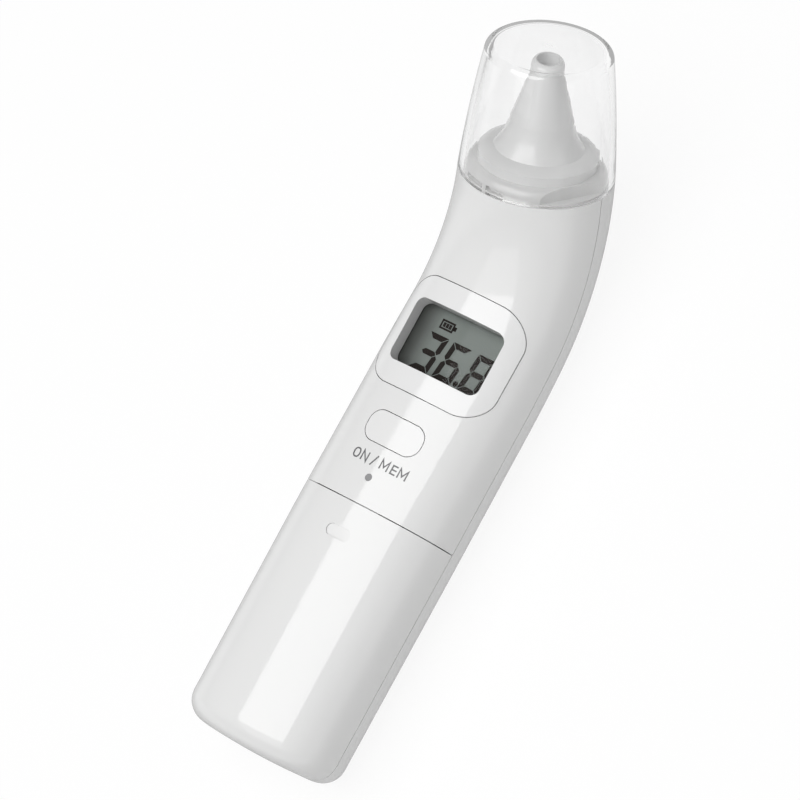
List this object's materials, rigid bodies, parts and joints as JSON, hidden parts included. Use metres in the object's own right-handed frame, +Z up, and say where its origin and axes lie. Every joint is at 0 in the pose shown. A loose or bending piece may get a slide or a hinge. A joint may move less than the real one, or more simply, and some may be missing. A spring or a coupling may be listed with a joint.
{
  "type": "digital ear thermometer",
  "caption": "Handheld ear thermometer with a bent head, a clear lift-off probe cap, a small display, press buttons and a slide-off battery cover.",
  "frame": {"origin": "middle of the narrow flat land on the rear casing that the thermometer rests on, display up", "axes": "+Y along the straight handle towards the head, +Z up out of the display, +X to the right seen from the display with the head up"},
  "size_m": [0.0358, 0.1605, 0.0545],
  "materials": {
    "casing_white": "high gloss",
    "panel_white": "high gloss",
    "button_white": "gloss",
    "collar_grey": "gloss",
    "probe_grey": "gloss",
    "cap_clear": "clear polished",
    "lens_clear": "clear polished",
    "lcd": "satin polariser",
    "inner_plastic": "matte",
    "black_plastic": "matte",
    "circuit_green": "solder resist",
    "zebra_rubber": "matte",
    "seal_rubber": "matte",
    "steel": "satin",
    "spring_steel": "nickel plated",
    "copper_tube": "gold plated",
    "ribbon_amber": "polyimide film",
    "window_silicon": "polished"
  },
  "bodies": {
    "thermometer": {"front_casing": "casing_white", "rear_casing": "casing_white", "display_panel": "panel_white", "display_lens": "lens_clear", "lcd_glass": "lcd", "lcd_holder": "inner_plastic", "zebra_connector": "zebra_rubber", "on_mem_switch": "black_plastic", "start_switch": "black_plastic", "start_switch_board": "circuit_green", "circuit_board": "circuit_green", "buzzer": "black_plastic", "controller_chip": "black_plastic", "memory_chip": "black_plastic", "crystal": "steel", "sensor_connector": "inner_plastic", "battery_tray": "inner_plastic", "coin_cell": "steel", "negative_contact": "spring_steel", "positive_contact": "spring_steel", "board_screws": "steel", "tray_screws": "steel", "casing_screws": "steel", "neck_collar": "collar_grey", "probe_base": "probe_grey", "probe_seal": "seal_rubber", "probe_nose": "probe_grey", "probe_window": "window_silicon", "waveguide": "copper_tube", "infrared_sensor": "steel", "sensor_sleeve": "black_plastic", "sensor_board": "circuit_green", "sensor_pins": "copper_tube", "sensor_ribbon": "ribbon_amber"},
    "cap": {"probe_cap": "cap_clear"},
    "cover": {"battery_cover": "casing_white"},
    "memory_button": {"on_mem_button": "button_white"},
    "memory_plunger": {"on_mem_plunger": "black_plastic"},
    "start_key": {"start_button": "button_white"},
    "start_key_plunger": {"start_plunger": "black_plastic"}
  },
  "joints": [
    {"name": "cap_pull", "type": "slide", "parent": "thermometer", "child": "cap", "axis": [0, 0.749, 0.6626], "range_m": [0, 0.04]},
    {"name": "cover_slide", "type": "slide", "parent": "thermometer", "child": "cover", "axis": [0, -1, 0], "range_m": [0, 0.06]},
    {"name": "memory_press", "type": "slide", "parent": "thermometer", "child": "memory_button", "axis": [0, 0, -1], "range_m": [0, 0.0003], "stiffness_N_per_m": 4000},
    {"name": "memory_switch_press", "type": "slide", "parent": "thermometer", "child": "memory_plunger", "axis": [0, 0, -1], "range_m": [0, 0.0003]},
    {"name": "start_press", "type": "slide", "parent": "thermometer", "child": "start_key", "axis": [0, -0.342, 0.9397], "range_m": [0, 0.0003], "stiffness_N_per_m": 4000},
    {"name": "start_switch_press", "type": "slide", "parent": "thermometer", "child": "start_key_plunger", "axis": [0, -0.342, 0.9397], "range_m": [0, 0.0003]}
  ],
  "couplings": [
    {"joint": "memory_switch_press", "follows": "memory_press", "ratio": 1},
    {"joint": "start_switch_press", "follows": "start_press", "ratio": 1}
  ]
}
